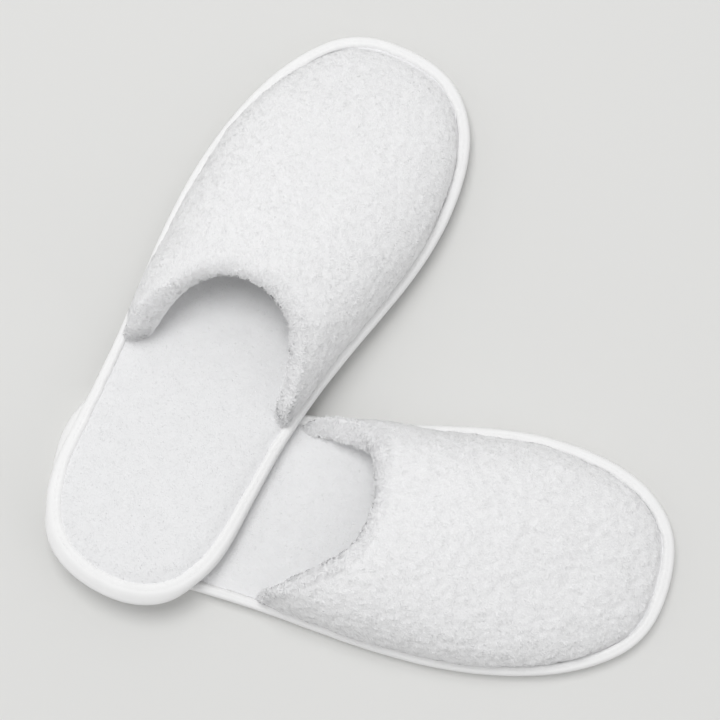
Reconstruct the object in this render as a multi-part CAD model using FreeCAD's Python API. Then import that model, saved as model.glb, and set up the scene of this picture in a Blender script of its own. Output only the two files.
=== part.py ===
import FreeCAD, Part
import math
import os

from FreeCAD import Vector

# A pair of closed-toe spa slippers, in millimetres.
#
# Each slipper is a stack of sheet goods: an EVA outsole, then a board, a foam pad
# and a velour cover whose edges sit in the slot of a folded binding tape.  The
# upper is three skins, lining, foam and plush, that stand on the tape from the
# quarters to the toe.  The right slipper lies flat with its long axis along +X,
# and the left one lies across its heel with the toe on the floor.

# ---- driving dimensions -------------------------------------------------------

LENGTH = 285.0          # heel to toe over the binding tape
OUTSOLE_THICK = 3.5
TAPE_THICK = 0.6        # one ply of the folded tape, above and below the slot
TAPE_WIDTH = 6.0        # how far the tape laps over the insole
TAPE_WALL = 0.9         # tape and its roll, outside the slot
TAPE_ROUND = 1.4        # radius of the tape's rolled edges
BOARD_THICK = 1.5
FOAM_THICK = 2.4
COVER_THICK = 1.0
OUTSOLE_INSET = 0.6     # the outsole's edge stands inside the tape's
SEAM_INSET = 4.2        # from the tape's outer edge to the lockstitch
THREAD = 0.5            # width of a seam
THREAD_DEPTH = 0.4      # how deep a seam beds in the tape

UPPER_REAR = 92.0       # the upper's blank starts behind the collar
RIM_SIDE = 1.5          # tape left showing beside the quarters
RIM_TOE = 5.5           # tape left showing at the toe
CREST = 40.0            # the instep's height over the tape
CREST_X = 150.0         # where the crest starts to fall to the toe
CREST_POWER = 1.6       # how the crest falls along the slipper
SECTION_POWER = 2.4     # how boxy a cross section of the upper is
PLUSH_THICK = 4.0
PAD_THICK = 2.2         # foam between the plush and the lining
LINING_THICK = 0.8
SKIN_GAP = 0.2          # between two skins of the upper
COLLAR_SEAM = 7.0       # the hem's stitches, ahead of the collar's edge

REST_GAP = 0.3          # the left outsole clears the right slipper by this
CROSSING = 75.5         # degrees from the right slipper's axis to the left's
LEFT_HEEL = (31.9, -52.9)   # the left slipper's heel, from the right one's heel

# The left slipper's outline from its heel, clockwise: x runs to the toe and y to
# the outside of the foot.
OUTLINE = [
    (0, -1), (10, 29), (30, 41.1), (60, 44.7), (100, 46.6), (150, 51.6), (195, 52.5),
    (235, 45.4), (262, 33.4), (278, 18.2), (285, -9), (281, -32.4), (265, -50),
    (240, -59.3), (205, -61.4), (150, -52), (100, -45), (60, -44.5), (30, -41.9),
    (10, -30.2),
]

# The collar's edge seen from the side, from below the quarters to over the throat.
COLLAR = [(105, 4), (107, 11), (113, 22), (125, 34), (141, 45), (157, 54), (180, 66)]

ARC_SAMPLES = 6         # points of each arc that the upper's footprint follows
UPPER_STATIONS = 10     # cross sections along the upper
SECTION_POINTS = 13     # points of each cross section
TOE_TRIM = 1.2          # the last cross section stands this far short of the toe
HEEL_END = 60.0         # the part of the outline that counts as the heel
FLAT = 0.001            # an edge lower than this lies level

TAPE_BOTTOM = OUTSOLE_THICK
SLOT_BOTTOM = TAPE_BOTTOM + TAPE_THICK
FOAM_BOTTOM = SLOT_BOTTOM + BOARD_THICK
COVER_BOTTOM = FOAM_BOTTOM + FOAM_THICK
SLOT_TOP = COVER_BOTTOM + COVER_THICK
TAPE_TOP = SLOT_TOP + TAPE_THICK


# ---- plan outlines ------------------------------------------------------------

def outline_points():
    """The outline's points, each with its direction of travel."""
    curve = Part.BSplineCurve()
    curve.interpolate([Vector(x, y, 0) for x, y in OUTLINE], PeriodicFlag=True)
    points = []
    for x, y in OUTLINE:
        point = Vector(x, y, 0)
        points.append((point, curve.tangent(curve.parameter(point))[0]))
    return points


def arc_from(start, along, end):
    """The arc that leaves start in a known direction and ends at end."""
    chord = end - start
    turn = math.atan2(along.cross(chord).z, along.dot(chord))
    outwards = Vector(chord.y, -chord.x, 0)
    middle = (start + end) * 0.5 + outwards * (math.tan(turn / 2) / 2)
    return Part.Arc(start, middle, end).toShape()


def arc_pair(start, end):
    """Two tangent arcs between two points whose directions are known."""
    (p0, t0), (p1, t1) = start, end
    gap = p1 - p0
    both = gap.dot(t0 + t1)
    spread = 2 * (1 - t0.dot(t1))
    reach = (math.sqrt(both ** 2 + spread * gap.dot(gap)) - both) / spread
    joint = (p0 + p1 + (t0 - t1) * reach) * 0.5
    first = arc_from(p0, t0, joint)
    arrival = first.tangentAt(first.LastParameter)
    return [first, arc_from(joint, arrival, p1)]


def outline_wire():
    """The whole outline as a smooth chain of arcs."""
    points = outline_points()
    edges = []
    for start, end in zip(points, points[1:] + points[:1]):
        edges += arc_pair(start, end)
    return Part.Wire(edges)


def outline_samples(wire):
    """Points of the outline with their inward normals."""
    samples = []
    for edge in wire.OrderedEdges:
        first, last = edge.FirstParameter, edge.LastParameter
        for i in range(ARC_SAMPLES):
            at = first + (last - first) * i / ARC_SAMPLES
            along = edge.tangentAt(at)
            samples.append((edge.valueAt(at), Vector(along.y, -along.x, 0)))
    return samples


OUTLINE_WIRE = outline_wire()
SAMPLES = outline_samples(OUTLINE_WIRE)


def inset_points(inset):
    """The outline moved inwards by a length that depends on x."""
    points = []
    for point, inward in SAMPLES:
        moved = point + inward * inset(point.x)
        points.append((moved.x, moved.y))
    return points


def plate(inset, bottom, top):
    """A flat sheet of the outline's shape, smaller by inset all round."""
    wire = OUTLINE_WIRE.makeOffset2D(-inset) if inset else OUTLINE_WIRE.copy()
    face = Part.Face(wire)
    face.translate(Vector(0, 0, bottom))
    return face.extrude(Vector(0, 0, top - bottom))


def ring(outer, inner, bottom, top):
    """A closed strip that follows the outline between two insets."""
    return plate(outer, bottom, top).cut(plate(inner, bottom, top))


# ---- the sole and its binding -------------------------------------------------

def binding_seam(bottom):
    """One thread of the lockstitch that closes the binding."""
    return ring(SEAM_INSET, SEAM_INSET + THREAD, bottom, bottom + THREAD_DEPTH)


def binding_tape():
    """The folded tape: a rounded roll with a slot for the insole's edge."""
    roll = plate(0, TAPE_BOTTOM, TAPE_TOP)
    edges = [edge for edge in roll.Edges if edge.BoundBox.ZLength < FLAT]
    roll = roll.makeFillet(TAPE_ROUND, edges)
    tape = roll.cut(plate(TAPE_WIDTH, TAPE_BOTTOM, TAPE_TOP))
    tape = tape.cut(plate(TAPE_WALL, SLOT_BOTTOM, SLOT_TOP))
    tape = tape.cut(binding_seam(TAPE_TOP - THREAD_DEPTH))
    return tape.cut(binding_seam(TAPE_BOTTOM))


def sole_pieces():
    """The outsole, the insole's plies, the tape and its two threads."""
    return {
        "outsole": plate(OUTSOLE_INSET, 0, OUTSOLE_THICK),
        "insole_board": plate(TAPE_WALL, SLOT_BOTTOM, FOAM_BOTTOM),
        "insole_foam": plate(TAPE_WALL, FOAM_BOTTOM, COVER_BOTTOM),
        "insole_cover": plate(TAPE_WALL, COVER_BOTTOM, SLOT_TOP),
        "binding_tape": binding_tape(),
        "binding_needle_thread": binding_seam(TAPE_TOP - THREAD_DEPTH),
        "binding_bobbin_thread": binding_seam(TAPE_BOTTOM),
    }


# ---- the upper ----------------------------------------------------------------

def rim(x):
    """How much tape shows outside the upper, at x along the slipper."""
    share = max(0.0, (x - UPPER_REAR) / (LENGTH - UPPER_REAR))
    return RIM_SIDE + (RIM_TOE - RIM_SIDE) * share ** 2


def side_at(points, x, side):
    """The footprint's y at x, on the outer side (1) or the inner one (-1)."""
    found = []
    for (x0, y0), (x1, y1) in zip(points, points[1:] + points[:1]):
        if (x0 - x) * (x1 - x) <= 0 and x0 != x1:
            found.append(y0 + (y1 - y0) * (x - x0) / (x1 - x0))
    return max(found) if side > 0 else min(found)


def upper_section(x, middle, half_width, height):
    """A closed cross section of the upper: a boxy arch on a straight foot."""
    arch = []
    for i in range(SECTION_POINTS):
        angle = math.pi * i / (SECTION_POINTS - 1)
        across, up = math.cos(angle), math.sin(angle)
        y = math.copysign(abs(across) ** (2 / SECTION_POWER), across)
        z = abs(up) ** (2 / SECTION_POWER)
        arch.append(Vector(x, middle + half_width * y, TAPE_TOP + height * z))
    curve = Part.BSplineCurve()
    curve.interpolate(arch)
    foot = Part.LineSegment(arch[-1], arch[0]).toShape()
    return Part.Wire([curve.toShape(), foot])


def upper_form(depth):
    """The solid inside the upper, depth millimetres under the plush's face."""
    footprint = inset_points(lambda x: rim(x) + depth)
    toe = max(x for x, y in footprint)
    sections = []
    for i in range(UPPER_STATIONS):
        share = math.sin(0.5 * math.pi * i / (UPPER_STATIONS - 1))
        x = UPPER_REAR + (toe - TOE_TRIM - UPPER_REAR) * share
        outer = side_at(footprint, x, 1)
        inner = side_at(footprint, x, -1)
        fall = max(0.0, (x - CREST_X) / (toe - CREST_X))
        height = (CREST - depth) * (1 - fall ** CREST_POWER) ** (1 / CREST_POWER)
        sections.append(upper_section(x, (outer + inner) / 2, (outer - inner) / 2, height))
    return Part.makeLoft(sections, True, False)


def behind_collar(ahead):
    """Everything behind the collar's edge, moved ahead towards the toe."""
    edge = [Vector(x + ahead, -LENGTH, z) for x, z in COLLAR]
    curve = Part.BSplineCurve()
    curve.interpolate(edge)
    rear = [Vector(0, -LENGTH, edge[-1].z), Vector(0, -LENGTH, edge[0].z)]
    wire = Part.Wire([
        curve.toShape(),
        Part.LineSegment(edge[-1], rear[0]).toShape(),
        Part.LineSegment(rear[0], rear[1]).toShape(),
        Part.LineSegment(rear[1], edge[0]).toShape(),
    ])
    return Part.Face(wire).extrude(Vector(0, 2 * LENGTH, 0))


def upper_skin(outer_depth, thick):
    """One skin of the upper, open at the collar and along its foot."""
    skin = upper_form(outer_depth).cut(upper_form(outer_depth + thick))
    return skin.cut(behind_collar(0))


def upper_pieces():
    """Plush, foam and lining, and the thread that hems the collar."""
    pad_depth = PLUSH_THICK + SKIN_GAP
    lining_depth = pad_depth + PAD_THICK + SKIN_GAP
    inside = lining_depth + LINING_THICK
    hem = upper_form(inside).cut(upper_form(inside + THREAD))
    hem = hem.cut(behind_collar(COLLAR_SEAM))
    return {
        "upper_plush": upper_skin(0, PLUSH_THICK),
        "upper_foam": upper_skin(pad_depth, PAD_THICK),
        "upper_lining": upper_skin(lining_depth, LINING_THICK),
        "collar_thread": hem.common(behind_collar(COLLAR_SEAM + THREAD)),
    }


# ---- placing the pair ---------------------------------------------------------

def left_placement():
    """The left slipper leans on the right one's heel, with its toe on the floor."""
    turn = math.radians(CROSSING)
    reach = [
        LEFT_HEEL[1] + point.x * math.sin(turn) + point.y * math.cos(turn)
        for point, inward in SAMPLES
    ]
    heel_edge = max(-y for x, y in OUTLINE if x <= HEEL_END)
    rest_height = TAPE_TOP + REST_GAP
    lean = math.atan2(rest_height, max(reach) - heel_edge)
    spin = FreeCAD.Rotation(Vector(0, 0, 1), CROSSING)
    tip = FreeCAD.Rotation(Vector(1, 0, 0), -math.degrees(lean))
    place = FreeCAD.Placement(Vector(LEFT_HEEL[0], LEFT_HEEL[1] - heel_edge, 0), spin)
    lift = FreeCAD.Placement(Vector(0, heel_edge, rest_height), tip)
    return lift.multiply(place)


def slipper_pieces():
    """Every piece of one slipper, in its own frame."""
    pieces = sole_pieces()
    pieces.update(upper_pieces())
    return pieces


def pair():
    """Every node of the pair: the right slipper flat, the left one leaning."""
    nodes = {}
    across = Vector(0, 1, 0)
    placement = left_placement().toMatrix()
    for name, shape in slipper_pieces().items():
        nodes["right_" + name] = shape.mirror(Vector(0, 0, 0), across)
        nodes["left_" + name] = shape.transformed(placement, True)
    return nodes


def main():
    """Stands the pair on the floor about the origin and writes each node's file."""
    os.makedirs("parts", exist_ok=True)
    nodes = pair()
    box = Part.makeCompound(list(nodes.values())).optimalBoundingBox(False, False)
    centre = Vector(-(box.XMin + box.XMax) / 2, -(box.YMin + box.YMax) / 2, -box.ZMin)
    for name, shape in nodes.items():
        shape.translate(centre)
        if not shape.isValid():
            raise ValueError(name + " is not a valid shape")
        shape.exportStep(os.path.join("parts", name + ".step"))


main()
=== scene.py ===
import math

import bmesh
import bpy
import numpy as np
from mathutils import Matrix, Vector, noise


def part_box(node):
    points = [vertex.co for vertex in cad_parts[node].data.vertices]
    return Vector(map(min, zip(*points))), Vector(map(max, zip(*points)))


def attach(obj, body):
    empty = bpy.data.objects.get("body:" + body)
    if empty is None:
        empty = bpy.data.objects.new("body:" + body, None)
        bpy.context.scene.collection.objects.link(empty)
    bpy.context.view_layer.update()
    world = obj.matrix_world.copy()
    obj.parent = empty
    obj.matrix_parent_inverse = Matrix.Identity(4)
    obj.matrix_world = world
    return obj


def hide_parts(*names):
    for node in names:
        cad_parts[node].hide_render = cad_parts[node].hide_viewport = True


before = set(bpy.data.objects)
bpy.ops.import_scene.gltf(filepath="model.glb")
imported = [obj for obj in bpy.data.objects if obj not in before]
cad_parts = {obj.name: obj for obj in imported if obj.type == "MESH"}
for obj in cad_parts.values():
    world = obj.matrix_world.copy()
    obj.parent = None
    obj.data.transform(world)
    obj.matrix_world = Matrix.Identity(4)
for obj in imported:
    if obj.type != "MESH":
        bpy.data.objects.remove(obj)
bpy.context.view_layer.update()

# A pair of white closed-toe spa slippers.  Every piece is worked out in one slipper's
# own frame in millimetres (x from heel to toe, y to the outside of the foot, z up from
# the sole), then placed in the row frame in metres by Slipper.place.

MM = 0.001

# ---- the slipper's sizes, as in the CAD frame ---------------------------------

OUTLINE = [
    (0, -1), (10, 29), (30, 41.1), (60, 44.7), (100, 46.6), (150, 51.6), (195, 52.5),
    (235, 45.4), (262, 33.4), (278, 18.2), (285, -9), (281, -32.4), (265, -50),
    (240, -59.3), (205, -61.4), (150, -52), (100, -45), (60, -44.5), (30, -41.9),
    (10, -30.2),
]
LENGTH = 285.0
OUTSOLE_INSET = 0.6
TAPE_TOP = 9.6
REST_GAP = 0.3
CROSSING = math.radians(75.5)
LEFT_HEEL = (31.9, -52.9)

UPPER_REAR = 92.0
RIM_SIDE = 1.5
RIM_TOE = 5.5
CREST = 40.0
CREST_X = 150.0
CREST_POWER = 1.6
SECTION_POWER = 2.4

# ---- what only the looks need -------------------------------------------------

OUTLINE_COUNT = 1400        # points round a finished outline
FAN_X = 228.0               # the upper's ribs fan out to the toe from here
RIBS_PER_BLUR = 25          # a finer fan takes more passes to smooth out its ribs
SPINE_X = (48.0, 232.0)     # the insole's middle line
UPPER_FOOT = 8.8            # the plush tucks in just below the top of the tape
BELLY_HEIGHT = 34.0         # the sides lean out most half way up to this height
TUCK_HEIGHT = 7.0           # and are drawn in below this one
PILE_STANDS = 1.5           # how far the pile stands off the skin it grows from
LINING_DEPTH = 7.4          # the upper's skins, by how far each lies under the plush's face
FOAM_DEPTH = 4.4
FULL_DEPTH = 12.0           # a skin this deep wouldn't follow the swelling at all
HEM_REACH = 0.085           # the turned hem's share of the way to the fan
CAMERA_AZIMUTH = math.radians(13.8)
CAMERA_ELEVATION = math.radians(86)
CAMERA_DISTANCE = 1.215
CAMERA_LENS = 131.3
LOOK_AT = (122.7, 76.2)     # from the right slipper's heel, in its own axes

# Where the collar's edge lies: (share of the way over the foot from the outer side
# to the inner side, x along the slipper).
COLLAR = {
    "left": [(0, 104), (0.1, 108), (0.2, 119), (0.28, 133), (0.37, 146), (0.5, 154.5),
             (0.6, 151), (0.68, 144), (0.76, 131), (0.86, 113), (1, 103)],
    "right": [(0, 104), (0.1, 107), (0.2, 113), (0.3, 122), (0.38, 133), (0.46, 143),
              (0.56, 148), (0.66, 146), (0.76, 143), (0.86, 134), (0.94, 118), (1, 106)],
}

rng = np.random.default_rng(20)


# ---- small geometry helpers ---------------------------------------------------

def closed_spline(points, count):
    """Evenly spaced points on the smooth closed curve through the given points."""
    knots = np.array(points, float)
    n = len(knots)
    steps = np.linalg.norm(np.roll(knots, -1, 0) - knots, axis=1)
    before = np.roll(steps, 1)
    matrix = np.zeros((n, n))
    for i in range(n):
        matrix[i, i] = 2 * (steps[i] + before[i])
        matrix[i, (i + 1) % n] += before[i]
        matrix[i, i - 1] += steps[i]
    slopes = (np.roll(knots, -1, 0) - knots) / steps[:, None]
    rates = 3 * (before[:, None] * slopes + steps[:, None] * np.roll(slopes, 1, 0))
    tangents = np.linalg.solve(matrix, rates)
    share = np.linspace(0, 1, 60, endpoint=False)[None, :, None]
    p0, p1 = knots[:, None], np.roll(knots, -1, 0)[:, None]
    m0 = (tangents * steps[:, None])[:, None]
    m1 = (np.roll(tangents, -1, 0) * steps[:, None])[:, None]
    dense = (
        (2 * share ** 3 - 3 * share ** 2 + 1) * p0 + (share ** 3 - 2 * share ** 2 + share) * m0
        + (3 * share ** 2 - 2 * share ** 3) * p1 + (share ** 3 - share ** 2) * m1
    ).reshape(-1, 2)
    ring = np.vstack([dense, dense[:1]])
    along = np.r_[0, np.cumsum(np.linalg.norm(np.diff(ring, axis=0), axis=1))]
    even = np.linspace(0, along[-1], count, endpoint=False)
    return np.stack([np.interp(even, along, ring[:, i]) for i in (0, 1)], 1)


def inward_normals(points):
    """Unit normals of a closed line, pointing to its inside (the line runs clockwise)."""
    along = np.roll(points, -1, 0) - np.roll(points, 1, 0)
    along /= np.linalg.norm(along, axis=1)[:, None]
    return np.stack([along[:, 1], -along[:, 0]], 1)


EDGE = closed_spline(OUTLINE, OUTLINE_COUNT)
INWARD = inward_normals(EDGE)


def rim(x):
    """How much tape shows outside the upper, at x along the slipper."""
    share = np.clip((x - UPPER_REAR) / (LENGTH - UPPER_REAR), 0, None)
    return RIM_SIDE + (RIM_TOE - RIM_SIDE) * share ** 2


def side_of(points, x, side):
    """The y of a closed line at x, on the outer side (1) or the inner one (-1)."""
    heel, toe = points[:, 0].argmin(), points[:, 0].argmax()
    order = np.arange(len(points))
    if side > 0:
        chain = order[(order - heel) % len(points) <= (toe - heel) % len(points)]
        chain = sorted(chain, key=lambda i: (i - heel) % len(points))
    else:
        chain = order[(order - toe) % len(points) <= (heel - toe) % len(points)]
        chain = sorted(chain, key=lambda i: (heel - i) % len(points))
    return np.interp(x, np.maximum.accumulate(points[chain, 0]), points[chain, 1])


def unit(vectors):
    """Vectors scaled to a length of one."""
    return vectors / np.maximum(np.linalg.norm(vectors, axis=-1, keepdims=True), 1e-12)


class Slipper:
    """One slipper: its place in the row frame, and how its cloth has settled."""

    def __init__(self, side):
        self.side = side
        self.body = side + "_slipper"
        self.block_shift = self.fan_shift = self.insole_shift = None
        low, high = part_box("right_outsole")
        self.heel = np.array([
            low.x / MM - EDGE[:, 0].min() - OUTSOLE_INSET,
            (low.y + high.y) / 2 / MM + (EDGE[:, 1].min() + EDGE[:, 1].max()) / 2,
            0,
        ])
        reach = EDGE @ np.array([math.sin(CROSSING), math.cos(CROSSING)]) + LEFT_HEEL[1]
        self.hinge = max(-y for x, y in OUTLINE if x <= 60)
        self.lean = math.atan2(TAPE_TOP + REST_GAP, reach.max() - self.hinge)

    def place(self, points):
        """Points in the slipper's frame, in millimetres, to the row frame in metres."""
        p = np.array(points, float)
        if self.side == "right":
            p = p * np.array([1, -1, 1])
        else:
            c, s = math.cos(CROSSING), math.sin(CROSSING)
            spin = np.array([[c, -s, 0], [s, c, 0], [0, 0, 1]])
            p = p @ spin.T + np.array([LEFT_HEEL[0], LEFT_HEEL[1] - self.hinge, 0])
            c, s = math.cos(-self.lean), math.sin(-self.lean)
            tip = np.array([[1, 0, 0], [0, c, -s], [0, s, c]])
            p = p @ tip.T + np.array([0, self.hinge, TAPE_TOP + REST_GAP])
        return (p + self.heel) * MM

    def name(self, piece):
        """The piece's name with the slipper's side."""
        return f"{self.side}_{piece}"


def grid_faces(rows, columns, close_rows=False, close_columns=False):
    """Quads of a grid of points numbered row by row."""
    r = np.arange(rows if close_rows else rows - 1)
    c = np.arange(columns if close_columns else columns - 1)
    r0, c0 = np.meshgrid(r, c, indexing="ij")
    r1, c1 = (r0 + 1) % rows, (c0 + 1) % columns
    corners = ((r0, c0), (r0, c1), (r1, c1), (r1, c0))
    return np.stack([r * columns + c for r, c in corners], -1).reshape(-1, 4)


def lumps(points, size, seed):
    """Smooth noise from -1 to 1 at points in millimetres, with lumps of about that size."""
    offset = Vector((seed * 17.3, seed * 5.1, seed * 9.7))
    scaled = np.asarray(points, float) / size
    values = [noise.noise(Vector(p) + offset) for p in scaled.reshape(-1, 3)]
    return np.array(values).reshape(scaled.shape[:-1])


def vertex_normals(points, faces):
    """Area-weighted normals at the points of a quad mesh."""
    a, b, c, d = (points[faces[:, i]] for i in range(4))
    across = np.cross(c - a, d - b)
    normals = np.zeros_like(points)
    for i in range(4):
        np.add.at(normals, faces[:, i], across)
    return normals / np.maximum(np.linalg.norm(normals, axis=1), 1e-12)[:, None]


def make_mesh(name, points, faces, material):
    """A smooth-shaded mesh object from points in metres, its faces turned outwards."""
    mesh = bpy.data.meshes.new(name)
    mesh.from_pydata([tuple(p) for p in points], [], [tuple(int(i) for i in f) for f in faces])
    obj = bpy.data.objects.new(name, mesh)
    bpy.context.scene.collection.objects.link(obj)
    work = bmesh.new()
    work.from_mesh(mesh)
    bmesh.ops.recalc_face_normals(work, faces=work.faces)
    work.to_mesh(mesh)
    work.free()
    mesh.shade_smooth()
    mesh.materials.append(material)
    return obj


def settle(obj, slipper, node):
    """The piece rides on its slipper and stands for its CAD node."""
    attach(obj, slipper.body)
    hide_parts(slipper.name(node))


def smooth_step(value, low, high):
    """0 below low, 1 above high, with a smooth rise between."""
    share = np.clip((value - low) / (high - low), 0, 1)
    return share * share * (3 - 2 * share)


def smooth_curve(knots, at):
    """A smooth curve through (place, value) knots, read at given places."""
    x, y = np.array(knots, float).T
    slope = np.gradient(y, x)
    i = np.clip(np.searchsorted(x, at) - 1, 0, len(x) - 2)
    step = x[i + 1] - x[i]
    s = (at - x[i]) / step
    return (
        (2 * s ** 3 - 3 * s ** 2 + 1) * y[i] + (s ** 3 - 2 * s ** 2 + s) * step * slope[i]
        + (3 * s ** 2 - 2 * s ** 3) * y[i + 1] + (s ** 3 - s ** 2) * step * slope[i + 1]
    )


def block_z(plan, z=0.0):
    """Points of a plan, all given the height z."""
    return np.concatenate([plan, np.full(plan.shape[:-1] + (1,), z)], -1)


# ---- the upper's form ---------------------------------------------------------

class Form:
    """The upper's boxy arch over the sole, some way under the face of the plush."""

    def __init__(self, depth):
        self.depth = depth
        self.share = 1 - depth / FULL_DEPTH     # the inner skins follow the swelling less
        self.line = EDGE + INWARD * (rim(EDGE[:, 0]) + depth)[:, None]
        self.toe = self.line[:, 0].max()
        self.x = np.linspace(self.line[:, 0].min(), self.toe, 500)
        self.outer = side_of(self.line, self.x, 1)
        self.inner = side_of(self.line, self.x, -1)

    def middle(self, x):
        """The y half way between the two sides."""
        return (np.interp(x, self.x, self.outer) + np.interp(x, self.x, self.inner)) / 2

    def half(self, x):
        """Half the width at x."""
        return (np.interp(x, self.x, self.outer) - np.interp(x, self.x, self.inner)) / 2

    def height(self, x):
        """The crown's height at x, over the foot."""
        fall = np.clip((x - CREST_X) / (self.toe - CREST_X), 0, 1)
        return (CREST - self.depth) * (1 - fall ** CREST_POWER) ** (1 / CREST_POWER)


def bump(x, low, high, soft):
    """1 between low and high, falling to 0 over the soft distance on both sides."""
    return smooth_step(x, low - soft, low) * (1 - smooth_step(x, high, high + soft))


def fullness(side, x, outwards):
    """How far the stuffed sides lean out over the tape, where the foot has pushed them."""
    if side == "left":
        outer = 2.4 * bump(x, 114, 132, 22) + 1.3 * bump(x, 214, 234, 18)
        inner = 1.0 * bump(x, 110, 118, 20)
    else:
        outer = 0.5 * bump(x, 150, 220, 30)
        inner = 4.4 * bump(x, 110, 140, 34)
    drawn_in = 2.4 * (1 - smooth_step(x, 102, 118)) + 1.3 * smooth_step(x, 225, 275)
    return np.where(outwards, outer, inner) - drawn_in


def swell(side, x, height, outwards):
    """How far the skin stands outside its form: tucked in at its foot, full above."""
    tuck = 2.2 - 1.4 * smooth_step(x, 200, 275)
    full = fullness(side, x, outwards) - PILE_STANDS
    belly = np.sin(math.pi * np.clip(height / BELLY_HEIGHT, 0, 1)) ** 0.7
    return full * belly - tuck * (1 - smooth_step(height, 0, TUCK_HEIGHT))


def rise_to(up):
    """The height over the floor of a point this far up the form."""
    return UPPER_FOOT + up * (1 + (TAPE_TOP - UPPER_FOOT) / CREST)


def arch_points(form, side, way, over, shift=None):
    """Points between the collar (way 0) and the fan (way 1); over runs across the foot."""
    collar = smooth_curve(COLLAR[side], over)
    x = collar + way * (FAN_X - collar)
    angle = math.pi * over
    across = np.sign(np.cos(angle)) * np.abs(np.cos(angle)) ** (2 / SECTION_POWER)
    up = form.height(x) * np.abs(np.sin(angle)) ** (2 / SECTION_POWER)
    out = swell(side, x, up, across > 0) * np.sign(across)
    out = out * smooth_step(np.abs(across), 0, 0.35)
    out = out * form.share
    y = form.middle(x) + form.half(x) * across + out
    points = np.stack([x, y, rise_to(up)], -1)
    return points if shift is None else points + spread_grid(shift, way, over)


def spread_grid(shift, way, over):
    """Reads a coarse grid of shifts at shares of its rows and columns."""
    way, over = np.broadcast_arrays(np.clip(way, 0, 1), over)
    rows, columns = shift.shape[:2]
    r, c = way * (rows - 1), over * (columns - 1)
    r0, c0 = np.minimum(r.astype(int), rows - 2), np.minimum(c.astype(int), columns - 2)
    fr, fc = soften(r - r0)[..., None], soften(c - c0)[..., None]
    low = shift[r0, c0] * (1 - fc) + shift[r0, c0 + 1] * fc
    high = shift[r0 + 1, c0] * (1 - fc) + shift[r0 + 1, c0 + 1] * fc
    return low * (1 - fr) + high * fr


def soften(share):
    """Half way between a straight and a smooth step, to hide the coarse grid."""
    return (share + share * share * (3 - 2 * share)) / 2


def fan_points(form, side, ribs, steps, shift=None):
    """Ribs from the toe's rim to the end of the upper's spine."""
    line = form.line
    front = line[line[:, 0] > FAN_X]
    turn = np.arctan2(front[:, 1] - form.middle(FAN_X), front[:, 0] - FAN_X)
    front = front[np.argsort(turn)[::-1]]
    ends = [[FAN_X, np.interp(FAN_X, form.x, side)] for side in (form.outer, form.inner)]
    front = np.vstack([ends[:1], front, ends[1:]])
    along = np.r_[0, np.cumsum(np.linalg.norm(np.diff(front, axis=0), axis=1))]
    even = np.linspace(0, along[-1], ribs + 1)
    feet = np.stack([np.interp(even, along, front[:, i]) for i in (0, 1)], 1)
    spine = np.array([FAN_X, float(form.middle(FAN_X))])
    angle = np.linspace(0, math.pi / 2, steps)
    reach = np.cos(angle) ** (2 / SECTION_POWER)
    reach[-1] = 0
    plan = spine + (feet[:, None] - spine) * reach[None, :, None]
    x, y = plan[..., 0], plan[..., 1]
    half = np.maximum(form.half(x), 1e-3)
    across = np.clip(np.abs(y - form.middle(x)) / half, 0, 1)
    up = form.height(x) * (1 - across ** SECTION_POWER) ** (1 / SECTION_POWER)
    for _ in range(ribs // RIBS_PER_BLUR):
        up[1:-1] = (up[:-2] + up[2:]) / 4 + up[1:-1] / 2
    outwards = feet - spine
    outwards /= np.linalg.norm(outwards, axis=1)[:, None]
    out = swell(side, x, up, outwards[:, None, 1] > 0)
    out = out * smooth_step(reach, 0, 0.35)[None, :]
    out = out * form.share
    plan = plan + outwards[:, None] * out[..., None]
    points = np.concatenate([plan, rise_to(up)[..., None]], -1)
    if shift is None:
        return points
    way, over = np.linspace(0, 1, ribs + 1)[:, None], np.linspace(0, 1, steps)[None, :]
    return points + spread_grid(shift, way, over)


def stitch_fans(block, end=None, start=None):
    """One mesh from a grid whose first and last rows may each close in a fan."""
    rows, columns = block.shape[:2]
    points = [block.reshape(-1, 3)]
    faces = [grid_faces(rows, columns)]
    used = rows * columns
    turns = ((end, lambda c: (rows - 1) * columns + c), (start, lambda c: columns - 1 - c))
    for fan, seam in turns:
        if fan is None:
            continue
        ribs, steps = fan.shape[:2]
        index = used + np.arange((ribs - 2) * (steps - 1)).reshape(ribs - 2, steps - 1)
        number = np.zeros((ribs, steps), int)
        number[1:-1, :-1] = index
        number[0] = [seam(c) for c in range(steps)]
        number[-1] = [seam(columns - 1 - c) for c in range(steps)]
        number[:, -1] = seam(steps - 1)
        points.append(fan[1:-1, :-1].reshape(-1, 3))
        faces.append(number.reshape(-1)[grid_faces(ribs, steps)])
        used += index.size
    return np.concatenate(points), np.concatenate(faces)


def face_list(faces):
    """Quads as index lists, with a repeated corner left out."""
    out = []
    for a, b, c, d in faces.tolist():
        out.append([a, b, d] if b == c else [a, b, c] if c == d else [a, b, c, d])
    return out


def upper_skin(slipper, depth, rows, steps, ribs, first_way=0.0):
    """The upper's surface at one depth, from first_way to the toe: its block and its fan."""
    form = Form(depth)
    over = np.linspace(0, 1, 2 * steps - 1)[None, :]
    way = np.linspace(first_way, 1, rows)[:, None]
    block = arch_points(form, slipper.side, way, over, slipper.block_shift)
    return block, fan_points(form, slipper.side, ribs, steps, slipper.fan_shift)


# ---- cloth simulation ---------------------------------------------------------

SIM_ROWS, SIM_STEPS, SIM_RIBS = 26, 17, 30
SIM_FRAMES = 45
HELD_EDGE = 1.5             # the upper is held this far up from its foot
UPPER_PRESSURE = 0.4
UPPER_LIMIT = 2.5           # millimetres that the upper may move
COVER_PRESSURE = 0.25
COVER_LIMIT = 1.2


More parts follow.
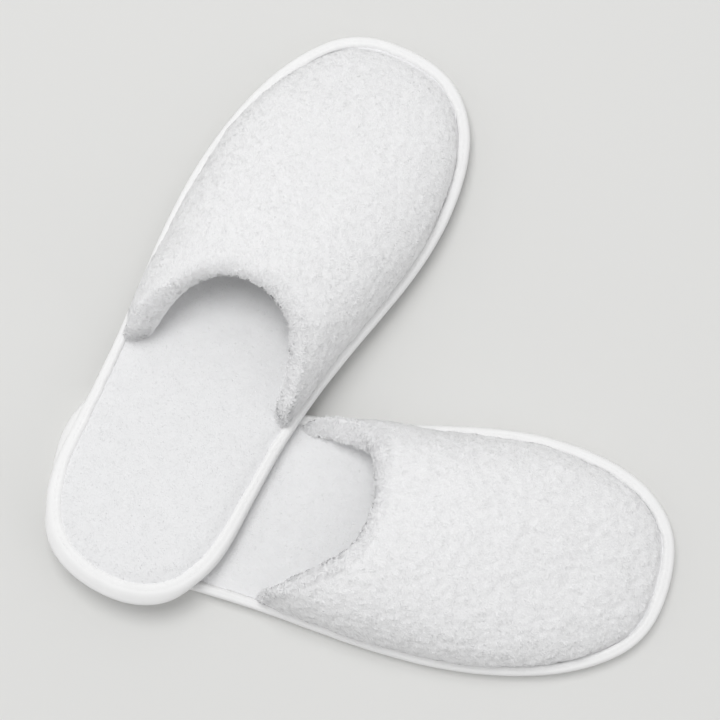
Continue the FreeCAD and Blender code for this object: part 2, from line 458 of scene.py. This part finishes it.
def let_settle(points, faces, held, pressure, limit):
    """How far cloth at the points moves before it rests, in millimetres; held points stay.

    The foam under it and the glue stop it short of the limit.
    """
    scene = bpy.context.scene
    mesh = bpy.data.meshes.new("loose_cloth")
    mesh.from_pydata((points * MM).tolist(), [], face_list(faces))
    cloth = bpy.data.objects.new("loose_cloth", mesh)
    scene.collection.objects.link(cloth)
    pins = cloth.vertex_groups.new(name="held")
    pins.add([int(i) for i in np.flatnonzero(held)], 1.0, "REPLACE")
    sim = cloth.modifiers.new("cloth", "CLOTH")
    sim.settings.quality = 6
    sim.settings.mass = 0.0006
    sim.settings.tension_stiffness = 8
    sim.settings.compression_stiffness = 8
    sim.settings.shear_stiffness = 4
    sim.settings.bending_stiffness = 0.6
    sim.settings.air_damping = 6
    sim.settings.vertex_group_mass = "held"
    sim.settings.use_pressure = True
    sim.settings.uniform_pressure_force = pressure
    sim.collision_settings.use_collision = False
    sim.point_cache.frame_start = 1
    sim.point_cache.frame_end = SIM_FRAMES
    for number in range(1, SIM_FRAMES + 1):
        scene.frame_set(number)
    graph = bpy.context.evaluated_depsgraph_get()
    rested = cloth.evaluated_get(graph).to_mesh()
    out = np.empty(len(points) * 3)
    rested.vertices.foreach_get("co", out)
    bpy.data.objects.remove(cloth)
    scene.frame_set(1)
    shift = out.reshape(-1, 3) / MM - points
    size = np.linalg.norm(shift, axis=1)[:, None]
    return shift * limit / (limit + size)


def relax(block, fans, held, pressure, limit):
    """Simulates a block with its fans; gives the shifts of the block and of each fan."""
    points, faces = stitch_fans(block, *fans)
    shift = let_settle(points, faces, held(points), pressure, limit)
    rows, columns = block.shape[:2]
    used = rows * columns
    block_shift = blurred(shift[:used].reshape(rows, columns, 3))
    out = [block_shift]
    for fan, seam in zip(fans, (block_shift[-1], block_shift[0, ::-1])):
        ribs, steps = fan.shape[:2]
        inside = (ribs - 2) * (steps - 1)
        fan_shift = np.zeros(fan.shape)
        fan_shift[1:-1, :-1] = shift[used:used + inside].reshape(ribs - 2, steps - 1, 3)
        for smooth in (False, True):
            fan_shift = blurred(fan_shift) if smooth else fan_shift
            fan_shift[0], fan_shift[-1] = seam[:steps], seam[::-1][:steps]
            fan_shift[:, -1] = seam[steps - 1]
        out.append(fan_shift)
        used += inside
    return out


def blurred(grid):
    """A grid of shifts with its finest waves taken out; its border stays."""
    for _ in range(2):
        inner = (grid[:-2] + grid[2:]) / 4 + grid[1:-1] / 2
        grid = np.concatenate([grid[:1], inner, grid[-1:]])
        inner = (grid[:, :-2] + grid[:, 2:]) / 4 + grid[:, 1:-1] / 2
        grid = np.concatenate([grid[:, :1], inner, grid[:, -1:]], 1)
    return grid


def relax_upper(slipper):
    """Cloth simulation of the upper: sewn down at its foot, soft above, resting."""
    block, fan = upper_skin(slipper, 0, SIM_ROWS, SIM_STEPS, SIM_RIBS)
    slipper.block_shift, slipper.fan_shift = relax(
        block, [fan], lambda points: points[:, 2] < UPPER_FOOT + HELD_EDGE,
        UPPER_PRESSURE, UPPER_LIMIT,
    )


# ---- pieces -------------------------------------------------------------------

def thicken(obj, thickness):
    """Gives a sheet its thickness, in millimetres, and closes its edges."""
    solid = obj.modifiers.new("thickness", "SOLIDIFY")
    solid.thickness = thickness * MM
    solid.offset = -1
    solid.use_rim = True
    graph = bpy.context.evaluated_depsgraph_get()
    mesh = bpy.data.meshes.new_from_object(obj.evaluated_get(graph))
    obj.modifiers.clear()
    obj.data = mesh
    obj.data.shade_smooth()


BEAD_DEPTH = 9.0      # the collar's roll, from its outer to its inner face
BEAD_WIDTH = {        # and how that changes over the foot: (share over, millimetres)
    "left": [(0, 13.5), (0.12, 13), (0.25, 11.5), (0.4, 9), (0.7, 8.5), (1, 9.5)],
    "right": [(0, 5), (0.15, 6), (0.35, 7.5), (0.6, 8.5), (0.8, 9), (0.92, 8.5), (1, 7)],
}
BEAD_BACK = 3.8       # how far the roll stands behind the collar's edge
BEAD_LEAD = {         # how far the roll's inner edge runs ahead of its outer one
    "left": [(0, 9), (0.12, 7), (0.25, 3), (0.4, 0), (0.8, 0), (0.92, 3), (1, 5)],
    "right": [(0, 3), (0.15, 2), (0.35, 0), (0.7, 0), (0.85, 1.5), (1, 3)],
}
HEM_ROWS = 12
HEM_TUCK = 1.8        # the hem's end lies this far behind the lining
BEAD_ROWS = 14
PLUSH_SHEET = 1.4
# The plush's lumps: (size, height).
PLUSH_LUMPS = [(34, 0.8), (13, 0.28), (5.5, 0.22), (2.8, 0.38)]
PLUSH_RUFFLE = {"left": (0.8, 3), "right": (1.2, 31)}   # how strong they are, and a seed
FINE = 4.0            # lumps smaller than this follow the way the pile is combed
COMBED = np.array([0.62, 1, 1])
LOW_RUFFLE = 0.25     # how much of the lumps the hem and the tucked foot have


def plush_block(slipper, rows, steps):
    """The plush's rows: the turned hem, the collar's roll and the outer face."""
    side, shift = slipper.side, slipper.block_shift
    over = np.linspace(0, 1, 2 * steps - 1)
    wide = smooth_curve(BEAD_WIDTH[side], over)[:, None] / BEAD_DEPTH
    lead = smooth_curve(BEAD_LEAD[side], over) / (FAN_X - smooth_curve(COLLAR[side], over))
    tucked = Form(LINING_DEPTH - HEM_TUCK)
    hem = []
    for i in range(HEM_ROWS):
        share = (i / HEM_ROWS) ** 0.7
        way = HEM_REACH * (1 - i / HEM_ROWS) + lead
        face = arch_points(Form(0), side, way, over, shift)
        rolled = face + (arch_points(Form(BEAD_DEPTH), side, way, over, shift) - face) * wide
        deep = arch_points(tucked, side, way, over, shift)
        hem.append(deep + (rolled - deep) * share)
    outer = arch_points(Form(0), side, 0.0, over, shift)
    face = arch_points(Form(0), side, lead, over, shift)
    inner = face + (arch_points(Form(BEAD_DEPTH), side, lead, over, shift) - face) * wide
    ahead = arch_points(Form(BEAD_DEPTH / 2), side, 0.03, over, shift)
    middle = (outer + inner) / 2
    forward = ahead - middle
    across = outer - inner
    across /= np.linalg.norm(across, axis=1)[:, None]
    forward -= across * (forward * across).sum(1)[:, None]
    forward /= np.linalg.norm(forward, axis=1)[:, None]
    bead = []
    for i in range(BEAD_ROWS):
        angle = math.pi * (1 - i / BEAD_ROWS)
        back = BEAD_BACK * (0.75 + 0.25 * smooth_step(np.minimum(over, 1 - over), 0.02, 0.2))
        rolled = (outer - middle) * math.cos(angle) - forward * back[:, None] * math.sin(angle)
        bead.append(middle + rolled)
    face, fan = upper_skin(slipper, 0, rows, steps, 2 * rows)
    return np.concatenate([hem, bead, face]), fan


def ruffle(points, faces, size_and_height, weight=1.0, seed=0):
    """Moves points along their normals by several sizes of smooth noise."""
    normals = vertex_normals(points, faces)
    lift = np.zeros(len(points))
    for i, (size, height) in enumerate(size_and_height):
        lift += height * lumps(points * (COMBED if size < FINE else 1), size, seed + i)
    return points + normals * (lift * weight)[:, None]


def make_plush(slipper, steps=86, rows=118):
    """The coral fleece, with its turned hem, and the pile on it."""
    block, fan = plush_block(slipper, rows, steps)
    points, faces = stitch_fans(block, fan)
    rough = smooth_step(points[:, 2], TAPE_TOP, TAPE_TOP + 4)
    rough = LOW_RUFFLE + (1 - LOW_RUFFLE) * rough
    columns = 2 * steps - 1
    rough[:(HEM_ROWS + 2) * columns] = LOW_RUFFLE
    strength, seed = PLUSH_RUFFLE[slipper.side]
    rough *= strength
    points = ruffle(points, faces, PLUSH_LUMPS, rough, seed)
    obj = make_mesh(slipper.name("upper_plush"), slipper.place(points), face_list(faces), FLEECE)
    thicken(obj, PLUSH_SHEET)
    settle(obj, slipper, "upper_plush")
    weight = np.ones(len(points))
    roll = np.arange(HEM_ROWS + BEAD_ROWS + 3)[:, None] - HEM_ROWS
    bare = BEAD_ROWS * smooth_hem(slipper.side, np.linspace(0, 1, columns))[None, :]
    weight[:len(roll) * columns] = np.where(roll > bare, BEAD_PILE, 0).ravel()
    weight[points[:, 2] < TAPE_TOP + 0.4] = 0
    make_pile(slipper, "upper_pile", PLUSH_PILE, points, faces, weight, PILE)


def smooth_hem(side, over):
    """The share of the collar's roll left bare; more of the hem shows at the left's outside."""
    if side == "left":
        return 0.12 + 0.23 * (1 - smooth_step(over, 0.24, 0.36))
    return np.full_like(over, 0.14)


BEAD_PILE = 1.5             # how much denser and longer the pile is on the collar's roll
LIP_LIGHT = 0.55            # how far the fibres there are shaded as if turned up


class Pile:
    """One kind of pile: how many fibres, their length and width, how steeply they rise, how
    deep they are rooted and the size of the clumps they lie in."""

    def __init__(self, count, length, width, rise, sink, clump):
        self.count = count
        self.length = length
        self.width = width
        self.rise = rise
        self.sink = sink
        self.clump = clump


PLUSH_PILE = Pile(64000, (1.2, 2.3), 0.46, 0.26, 0.08, 2.2)
VELOUR_PILE = Pile(45000, (0.7, 1.5), 0.38, 0.15, 0.04, 2.4)


def make_pile(slipper, name, kind, points, faces, weight, finish):
    """Short curled fibres over a skin, as one piece; weight says where and how long."""
    normals = vertex_normals(points, faces)
    corners = points[faces]
    spread = np.cross(corners[:, 2] - corners[:, 0], corners[:, 3] - corners[:, 1])
    area = 0.5 * np.linalg.norm(spread, axis=1)
    dense = weight[faces].min(axis=1)
    chance = area * dense
    picked = rng.choice(len(faces), kind.count, p=chance / chance.sum())
    s, t = rng.random((2, kind.count, 1))
    quad, turned = corners[picked], normals[faces[picked]]

    def blend(corner):
        """A value at the random place in each picked quad."""
        low = corner[:, 0] * (1 - s) + corner[:, 1] * s
        return low * (1 - t) + (corner[:, 3] * (1 - s) + corner[:, 2] * s) * t

    root, normal = blend(quad), unit(blend(turned))
    clump = np.stack([lumps(root, kind.clump, seed) for seed in (71, 72, 73)], 1) * 1.3
    lay = clump + rng.normal(0, 0.4, (kind.count, 3)) + np.array([0.5, 0, -0.1])
    lay = unit(lay - normal * (lay * normal).sum(1)[:, None])
    across = np.cross(normal, lay)
    stand = dense[picked][:, None]
    length = rng.uniform(*kind.length, (kind.count, 1)) * stand ** 0.5
    level = 0.35 + 0.65 * np.abs(normal[:, 2:])
    rise = rng.uniform(0.5, 1.5, (kind.count, 1)) * kind.rise * np.where(stand > 1, stand, level)
    curl = rng.normal(0, 0.35, (kind.count, 1))
    width = across * (kind.width / 2)
    root = root - normal * kind.sink
    knee = root + unit(lay + normal * rise) * length * 0.5
    tip = knee + unit(lay + normal * (rise - 0.4) + across * curl) * length * 0.5
    made = np.stack([root - width, root + width, knee + width * 0.9, knee - width * 0.9, tip], 1)
    outwards = (np.cross(width, knee - root) * normal).sum(1) > 0
    first = np.arange(kind.count)[:, None] * 5
    forward = np.where(outwards[:, None], [0, 1, 2, 3], [3, 2, 1, 0])
    ends = np.where(outwards[:, None], [3, 2, 4], [4, 2, 3])
    blades = (first + forward).tolist() + (first + ends).tolist()
    if slipper.side == "right":     # place() mirrors the right slipper
        blades = [blade[::-1] for blade in blades]
    mesh = bpy.data.meshes.new(slipper.name(name))
    mesh.from_pydata(slipper.place(made.reshape(-1, 3)).tolist(), [], blades)
    mesh.shade_smooth()
    mesh.materials.append(finish)
    lifted = np.where(stand > 1, 1 - np.clip(normal[:, 2:], 0, 1), 0) * [0, 0, LIP_LIGHT]
    facing = unit(normal + rng.normal(0, 0.16, normal.shape) - lay * 0.16 + lifted)
    far = unit(slipper.place(root + facing) - slipper.place(root))
    mesh.normals_split_custom_set_from_vertices(np.repeat(far, 5, axis=0).tolist())
    obj = bpy.data.objects.new(slipper.name(name), mesh)
    bpy.context.scene.collection.objects.link(obj)
    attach(obj, slipper.body)


def make_inside(slipper):
    """The lining that shows in the mouth, and the foam between it and the plush."""
    for node, depth, thickness, first_way, finish, slot in (
        ("upper_lining", LINING_DEPTH, 0.6, 0.05, LINING, "lining"),
        ("upper_foam", FOAM_DEPTH, 2.0, 0.10, FOAM, "foam"),
    ):
        points, faces = stitch_fans(*upper_skin(slipper, depth, 46, 36, 60, first_way))
        points = ruffle(points, faces, [(20, 0.3)], 1.0, 9)
        obj = make_mesh(slipper.name(node), slipper.place(points), face_list(faces), finish)
        thicken(obj, thickness)
        settle(obj, slipper, node)
        if slot == "lining":
            slipper.name("upper_foam")


def flat_grid(inset, rows, steps, ribs):
    """The sole's plan as a grid with a fan at each end, inset from the outline."""
    line = EDGE + INWARD * inset
    xs = np.linspace(*SPINE_X, rows)
    outer, inner = side_of(line, xs, 1), side_of(line, xs, -1)
    middle, half = (outer + inner) / 2, (outer - inner) / 2
    reach = np.cos(np.linspace(0, math.pi, 2 * steps - 1))
    reach = np.sign(reach) * np.abs(reach) ** 0.7
    across = middle[:, None] + half[:, None] * reach
    block = np.stack([np.repeat(xs[:, None], len(reach), 1), across], -1)
    fans = []
    for end in (-1, 0):
        pole = np.array([xs[end], middle[end]])
        part = line[line[:, 0] > xs[end]] if end else line[line[:, 0] < xs[end]]
        turn = np.arctan2(*(part - pole).T[::-1])
        turn = turn if end else turn % (2 * math.pi)
        part = part[np.argsort(-turn)]
        sides = np.array([[xs[end], outer[end]], [xs[end], inner[end]]])
        part = np.vstack([sides[:1], part, sides[1:]] if end else [sides[1:], part, sides[:1]])
        along = np.r_[0, np.cumsum(np.linalg.norm(np.diff(part, axis=0), axis=1))]
        even = np.linspace(0, along[-1], ribs + 1)
        feet = np.stack([np.interp(even, along, part[:, i]) for i in (0, 1)], 1)
        share = np.abs(reach[:steps])
        share[-1] = 0
        fans.append(pole + (feet[:, None] - pole) * share[None, :, None])
    return block, fans[0], fans[1]


def edge_distance(plan, inset):
    """How far points of the plan lie inside the outline moved in by inset."""
    line = EDGE[::4] + INWARD[::4] * inset
    flat = plan.reshape(-1, 2)
    out = np.empty(len(flat))
    for i in range(0, len(flat), 4000):
        gap = flat[i:i + 4000, None] - line[None]
        out[i:i + 4000] = np.sqrt((gap ** 2).sum(-1).min(1))
    return out


INSOLE_INSET = 5.0          # the cover's edge, under the tape
INSOLE_EDGE = 8.1           # how high it lies there
INSOLE_PUFF = {"left": 3.3, "right": 2.6}   # how far the middle stands over its edge
PUFF_REACH = 4.5            # how fast it rises from there
COVER_SHEET = 0.9
PILE_END = 165.0            # past here only the middle of the cover can be seen


def insole_grid(slipper, rows, steps, ribs):
    """The cover's surface: puffed by the foam, drawn down at the tape."""
    parts = []
    shifts = slipper.insole_shift or (None, None, None)
    for i, (plan, shift) in enumerate(zip(flat_grid(INSOLE_INSET, rows, steps, ribs), shifts)):
        depth = edge_distance(plan, INSOLE_INSET).reshape(plan.shape[:2])
        part = block_z(plan)
        puff = INSOLE_PUFF[slipper.side] * (1 - np.exp(-depth / PUFF_REACH))
        part[..., 2] = INSOLE_EDGE + puff
        if shift is not None:
            way = np.linspace(0, 1, plan.shape[0])[:, None]
            part += spread_grid(shift, way, np.linspace(0, 1, plan.shape[1])[None, :])
        parts.append(part)
    return parts


def relax_insole(slipper):
    """Cloth simulation of the cover, blown up a little by the foam it is glued to."""
    block, end, start = insole_grid(slipper, 30, 11, 16)
    slipper.insole_shift = relax(
        block, [end, start], lambda points: points[:, 2] < INSOLE_EDGE + 0.3,
        COVER_PRESSURE, COVER_LIMIT,
    )


def make_insole(slipper):
    """The velour cover and its pile."""
    # the two covers differ only by painted light: the right one's velour is painted lighter
    cloth = VELOUR_WITH_PAINTED_LIGHT[slipper.side]
    points, faces = stitch_fans(*insole_grid(slipper, 190, 52, 110))
    depth = edge_distance(points[:, :2], INSOLE_INSET)
    soft = smooth_step(depth, 0, 6)
    points[:, 2] += soft * (0.35 * lumps(points, 38, 5) + 0.18 * lumps(points, 12, 6))
    points[:, 2] += 0.14 * lumps(points, 3.0, 7) + 0.1 * lumps(points, 1.6, 8)
    obj = make_mesh(slipper.name("insole_cover"), slipper.place(points), face_list(faces), cloth)
    thicken(obj, COVER_SHEET)
    settle(obj, slipper, "insole_cover")
    weight = np.where((points[:, 0] < PILE_END) | (depth > 12), 1.0, 0.0)
    make_pile(slipper, "insole_pile", VELOUR_PILE, points, faces, weight, cloth)


# The tape's cross section: how far in from the outline, as a share of the tape's
# width, and the height.  It runs from under the insole round the edge to the top.
TAPE_FACE = [
    (0.90, 3.6), (0.55, 3.55), (0.25, 3.6), (0.10, 4.0), (0.02, 4.9), (0.0, 6.0), (0.02, 7.2),
    (0.07, 8.3), (0.15, 8.95), (0.26, 9.4), (0.37, 9.62), (0.46, 9.6), (0.54, 9.74), (0.66, 10.0),
    (0.78, 9.92), (0.90, 9.3), (0.98, 8.6), (1.0, 7.9),
]
TAPE_BACK = [
    (0.88, 8.0), (0.82, 8.6), (0.6, 8.9), (0.4, 8.7), (0.26, 8.3), (0.18, 7.4), (0.15, 6.0),
    (0.17, 4.9), (0.28, 4.3), (0.6, 4.15), (0.88, 4.2),
]
TAPE_COUNT = 1100           # cross sections round the sole
SEAM_PLACE = 0.50           # the lockstitch's place, as a share of the tape's width
SEAM_HEIGHT = 9.54
STITCH_PITCH = 3.4
STITCH_SHARE = 0.42         # half of what a stitch covers of its pitch
STITCH_RADIUS = 0.24
STITCH_DIP = 0.42           # how far its ends go down into the tape


def tape_width(x, outer_side):
    """The tape laps widest round the heel and narrows along the quarters."""
    heel = 7.2 - 1.9 * smooth_step(x, 20, 90)
    toe = 0.6 * smooth_step(x, 190, 270)
    return heel + toe - 0.3 * outer_side


def heel_flare(x):
    """How far the sole's lower edge stands out round the heel."""
    return 0.7 * (1 - smooth_step(x, 20, 70)) + 2.4 * (1 - smooth_step(x, 3, 24))


def make_tape(slipper):
    """The folded tape, puckered by its stitches, and the needle thread on it."""
    line = closed_spline(OUTLINE, TAPE_COUNT)
    inward = inward_normals(line)
    profile = np.array(TAPE_FACE + TAPE_BACK)
    step = np.linalg.norm(np.roll(line, -1, 0) - line, axis=1)
    along = np.r_[0, np.cumsum(step)[:-1]]
    total = step.sum()
    pucker = np.cos(2 * math.pi * along / (total / round(total / STITCH_PITCH)))
    wobble = lumps(block_z(line), 16, 12 if slipper.side == "left" else 14)
    width = tape_width(line[:, 0], (line[:, 1] > 0)) + 0.35 * wobble
    inset = profile[None, :, 0] * width[:, None]
    low = (1 - smooth_step(profile[:, 1], 4.5, 9.4)) * (profile[:, 0] < 0.5)
    inset = inset - heel_flare(line[:, 0])[:, None] * low[None, :]
    inner = smooth_step(profile[:, 0], 0.45, 0.95)[None, :] * (profile[:, 1] > 7)[None, :]
    z = profile[None, :, 1] + (0.13 * pucker[:, None] - 0.05) * inner
    z = z + (0.18 * lumps(block_z(line), 9, 15))[:, None] * (profile[:, 1] > 6)[None, :]
    inset = inset + 0.12 * lumps(block_z(line), 11, 16)[:, None]
    inset = inset + 0.4 * lumps(block_z(line), 5, 17)[:, None] * inner
    plan = line[:, None] + inward[:, None] * inset[..., None]
    points = np.concatenate([plan, z[..., None]], -1)
    faces = grid_faces(TAPE_COUNT, len(profile), True, True)
    placed = slipper.place(points.reshape(-1, 3))
    obj = make_mesh(slipper.name("binding_tape"), placed, faces, TAPE)
    settle(obj, slipper, "binding_tape")
    slipper.name("insole_board")
    seam = block_z(line + inward * (SEAM_PLACE * width)[:, None])
    seam = np.vstack([seam, seam[:1]])
    make_stitches(slipper, "binding_needle_thread", seam, np.r_[along, total], SEAM_HEIGHT)


def make_stitches(slipper, node, path, along, height=None):
    """A row of short lockstitches along a path, whose points lie at the distances along.

    With a height given, they lie at it and each one dips at both of its ends.
    """
    total = along[-1]
    pieces = round(total / STITCH_PITCH)
    rings, sides = 7, 6
    points, faces = [], []
    for i in range(pieces):
        share = np.linspace(-1, 1, rings)
        at = total * (i + 0.5) / pieces + share * STITCH_PITCH * STITCH_SHARE
        if height is not None:
            at = at % total
        centre = np.stack([np.interp(at, along, path[:, k]) for k in range(3)], 1)
        if height is not None:
            centre[:, 2] = height - STITCH_DIP * share ** 4
        run = np.gradient(centre, axis=0)
        run /= np.linalg.norm(run, axis=1)[:, None]
        flat = np.cross(run, [0, 0, 1])
        flat /= np.maximum(np.linalg.norm(flat, axis=1), 1e-9)[:, None]
        up = np.cross(flat, run)
        radius = STITCH_RADIUS * np.sqrt(np.clip(1 - 0.85 * share ** 4, 0, 1))
        turn = (np.arange(sides) * 2 * math.pi / sides)[None, :, None]
        spokes = flat[:, None] * np.cos(turn) + up[:, None] * np.sin(turn)
        points.append((centre[:, None] + radius[:, None, None] * spokes).reshape(-1, 3))
        base = i * rings * sides
        faces += (base + grid_faces(rings, sides, False, True)).tolist()
        faces.append([base + k for k in range(sides)][::-1])
        faces.append([base + (rings - 1) * sides + k for k in range(sides)])
    obj = make_mesh(slipper.name(node), slipper.place(np.concatenate(points)), faces, THREAD)
    settle(obj, slipper, node)


def make_collar_seam(slipper):
    """The thread that holds the plush's turned hem, on the inside of the collar."""
    over = np.linspace(0.05, 0.95, 400)
    form = Form(BEAD_DEPTH - 0.9)
    path = arch_points(form, slipper.side, HEM_REACH * 0.72, over, slipper.block_shift)
    step = np.linalg.norm(np.diff(path, axis=0), axis=1)
    make_stitches(slipper, "collar_thread", path, np.r_[0, np.cumsum(step)])


# The outsole's side: how far in from its widest, and how high.
SOLE_SIDE = [
    (0.5, 0.0), (0.15, 0.12), (0.0, 0.5), (0.02, 1.7), (0.0, 3.0), (0.15, 3.35), (0.6, 3.5),
    (8.0, 3.5),
]
SOLE_COUNT = 900            # points round it
WAVE_PITCH = 5.0            # the non-slip waves underneath
WAVE_DEPTH = 0.35


def make_outsole(slipper):
    """The EVA sheet: a soft-edged side and a wavy non-slip underside."""
    inset, height = np.array(SOLE_SIDE).T
    inset = OUTSOLE_INSET + inset
    block, end, start = flat_grid(inset[0], 230, 60, 120)
    points, faces = stitch_fans(block_z(block), block_z(end), block_z(start))
    depth = edge_distance(points[:, :2], inset[0])
    along = points[:, 0] + 1.6 * np.sin(points[:, 1] * 0.7)
    wave = smooth_step(np.sin(along * 2 * math.pi / WAVE_PITCH), -0.4, 0.5)
    points[:, 2] = WAVE_DEPTH * wave * smooth_step(depth, 3, 4.5)
    faces = face_list(faces[:, ::-1])
    under = make_mesh(slipper.name("outsole"), slipper.place(points), faces, EVA)
    line = closed_spline(OUTLINE, SOLE_COUNT)
    inward = inward_normals(line)
    rough = 0.08 * lumps(block_z(line), 4, 18)
    inset = inset[None, :] + (rough - heel_flare(line[:, 0]))[:, None]
    plan = line[:, None] + inward[:, None] * inset[..., None]
    up = np.broadcast_to(height[None, :, None], plan.shape[:2] + (1,))
    wall = slipper.place(np.concatenate([plan, up], -1).reshape(-1, 3))
    side = make_mesh("side", wall, grid_faces(SOLE_COUNT, len(height), True, False), EVA)
    join(under, side)
    settle(under, slipper, "outsole")


def join(first, other):
    """Makes the other object part of the first."""
    both = {"active_object": first, "object": first, "selected_editable_objects": [first, other]}
    with bpy.context.temp_override(**both):
        bpy.ops.object.join()


# ---- materials ----------------------------------------------------------------

def material(name, colour, roughness, sheen, spread, patch, grain, bump, depth, cells=False):
    """A matt cloth, board or foam: patchy colour, and a grain in its bump.

    spread is how much darker the patches are; patch and grain are the two noises' scales; bump
    and depth are the grain's strength and height; cells makes the grain a foam's.
    """
    made = bpy.data.materials.new(name)
    made.use_nodes = True
    nodes, links = made.node_tree.nodes, made.node_tree.links
    shader = nodes["Principled BSDF"]
    shader.inputs["Roughness"].default_value = roughness
    shader.inputs["Sheen Weight"].default_value = sheen
    shader.inputs["Sheen Roughness"].default_value = 0.5
    shader.inputs["Specular IOR Level"].default_value = 0.2
    place = nodes.new("ShaderNodeTexCoord")
    patches = nodes.new("ShaderNodeTexNoise")
    patches.inputs["Scale"].default_value = patch
    patches.inputs["Detail"].default_value = 6
    links.new(place.outputs["Object"], patches.inputs["Vector"])
    ramp = nodes.new("ShaderNodeValToRGB")
    ramp.color_ramp.elements[0].position = 0.3
    ramp.color_ramp.elements[1].position = 0.7
    ramp.color_ramp.elements[0].color = (*[c * (1 - spread) for c in colour], 1)
    ramp.color_ramp.elements[1].color = (*colour, 1)
    links.new(patches.outputs["Fac"], ramp.inputs["Fac"])
    links.new(ramp.outputs["Color"], shader.inputs["Base Color"])
    fine = nodes.new("ShaderNodeTexVoronoi" if cells else "ShaderNodeTexNoise")
    fine.inputs["Scale"].default_value = grain
    if not cells:
        fine.inputs["Detail"].default_value = 4
    links.new(place.outputs["Object"], fine.inputs["Vector"])
    relief = nodes.new("ShaderNodeBump")
    relief.inputs["Strength"].default_value = bump
    relief.inputs["Distance"].default_value = depth
    links.new(fine.outputs["Distance" if cells else "Fac"], relief.inputs["Height"])
    links.new(relief.outputs["Normal"], shader.inputs["Normal"])
    return made


FLEECE = material("plush_fleece", (0.89, 0.89, 0.896), 0.95, 0.25, 0.04, 260, 750, 0.5, 0.0006)
PILE = material("plush_pile", (0.915, 0.915, 0.922), 0.95, 0.2, 0.03, 400, 2500, 0.1, 0.0001)
WOVEN = (0.95, 0.3, 0.03, 180, 1600, 0.45, 0.0004)
VELOUR_WITH_PAINTED_LIGHT = {                      # one cloth in both; the right cover is painted lighter than the left, as painted light in its shaded mouth
    "left": material("left_velour", (0.852, 0.854, 0.862), *WOVEN),
    "right": material("right_velour_painted_lighter", (0.90, 0.902, 0.91), *WOVEN),
}
LINING = material("upper_lining", (0.94, 0.94, 0.94), 0.85, 0.1, 0.03, 200, 1800, 0.4, 0.0003)
FOAM = material("sponge", (0.9, 0.89, 0.86), 0.9, 0, 0.05, 500, 900, 0.6, 0.0005, cells=True)
BOARD = material("pressed_board", (0.72, 0.66, 0.56), 0.85, 0, 0.12, 300, 1500, 0.4, 0.0003)
TAPE = material("binding_tape", (0.91, 0.91, 0.91), 0.6, 0.15, 0.02, 90, 2600, 0.25, 0.0002)
THREAD = material("sewing_thread", (0.92, 0.92, 0.92), 0.6, 0.1, 0.05, 900, 4000, 0.5, 0.0002)
EVA = material("eva_sole", (0.88, 0.88, 0.87), 0.65, 0, 0.03, 150, 2200, 0.4, 0.0002, cells=True)
PAPER = material("floor_paper", (0.742, 0.742, 0.73), 1.0, 0, 0.004, 8, 300, 0.02, 0.0001)

CARRIED_OVER = {
    "insole_board": BOARD,
    "insole_foam": FOAM,
    "binding_bobbin_thread": THREAD,
}


def build_slipper(side):
    """All the pieces of one slipper."""
    slipper = Slipper(side)
    relax_upper(slipper)
    relax_insole(slipper)
    make_outsole(slipper)
    make_insole(slipper)
    make_tape(slipper)
    make_plush(slipper)
    make_inside(slipper)
    make_collar_seam(slipper)
    for node, finish in CARRIED_OVER.items():
        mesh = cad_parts[slipper.name(node)].data
        mesh.materials.clear()
        mesh.materials.append(finish)
    return slipper


# ---- the stage ----------------------------------------------------------------

def make_floor():
    """A wide sheet of pale paper, just under the soles."""
    size, drop = 4.0, 0.0003
    corners = [(x * size, y * size, -drop) for x, y in ((-1, -1), (1, -1), (1, 1), (-1, 1))]
    mesh = bpy.data.meshes.new("floor")
    mesh.from_pydata(corners, [], [(0, 1, 2, 3)])
    floor = bpy.data.objects.new("floor", mesh)
    bpy.context.scene.collection.objects.link(floor)
    mesh.materials.append(PAPER)


def make_light(name, size, power, place, target):
    """A round soft light that faces the target."""
    data = bpy.data.lights.new(name, "AREA")
    data.shape = "DISK"
    data.size = size
    data.energy = power
    lamp = bpy.data.objects.new(name, data)
    bpy.context.scene.collection.objects.link(lamp)
    lamp.location = place
    lamp.rotation_mode = "QUATERNION"
    lamp.rotation_quaternion = (target - place).to_track_quat("-Z", "Y")


def make_camera(target):
    """The photograph's camera, nearly straight above the pair."""
    data = bpy.data.cameras.new("camera")
    data.lens = CAMERA_LENS
    data.sensor_width = 36
    camera = bpy.data.objects.new("camera", data)
    bpy.context.scene.collection.objects.link(camera)
    a, e = CAMERA_AZIMUTH, CAMERA_ELEVATION
    back = Vector((math.sin(a) * math.cos(e), -math.cos(a) * math.cos(e), math.sin(e)))
    camera.location = target + back * CAMERA_DISTANCE
    up = Vector((-math.sin(a), math.cos(a), 0))
    right = up.cross(back).normalized()
    up = back.cross(right)
    camera.matrix_world = Matrix((
        (right.x, up.x, back.x, camera.location.x),
        (right.y, up.y, back.y, camera.location.y),
        (right.z, up.z, back.z, camera.location.z),
        (0, 0, 0, 1),
    ))
    bpy.context.scene.camera = camera


def make_world(level):
    """An even white sky."""
    world = bpy.data.worlds.new("studio")
    world.use_nodes = True
    sky = world.node_tree.nodes["Background"]
    sky.inputs["Color"].default_value = (1, 1, 1, 1)
    sky.inputs["Strength"].default_value = level
    bpy.context.scene.world = world


# ---- the scene ----------------------------------------------------------------

right = build_slipper("right")
build_slipper("left")
make_floor()
centre = Vector((right.heel + np.array([*LOOK_AT, 0])) * MM)
make_camera(centre)
make_world(0.53)
a = CAMERA_AZIMUTH
across, up = Vector((math.cos(a), math.sin(a), 0)), Vector((-math.sin(a), math.cos(a), 0))
make_light("key", 1.6, 44, centre - across * 0.4 + up * 0.85 + Vector((0, 0, 3.0)), centre)
make_light("fill", 2.0, 4.5, centre + across * 2.0 - up * 1.0 + Vector((0, 0, 1.6)), centre)
make_light("low_fill", 2.0, 4.6, centre - across * 2.2 + Vector((0, 0, 1.7)), centre)
bpy.context.scene.view_settings.view_transform = "Standard"
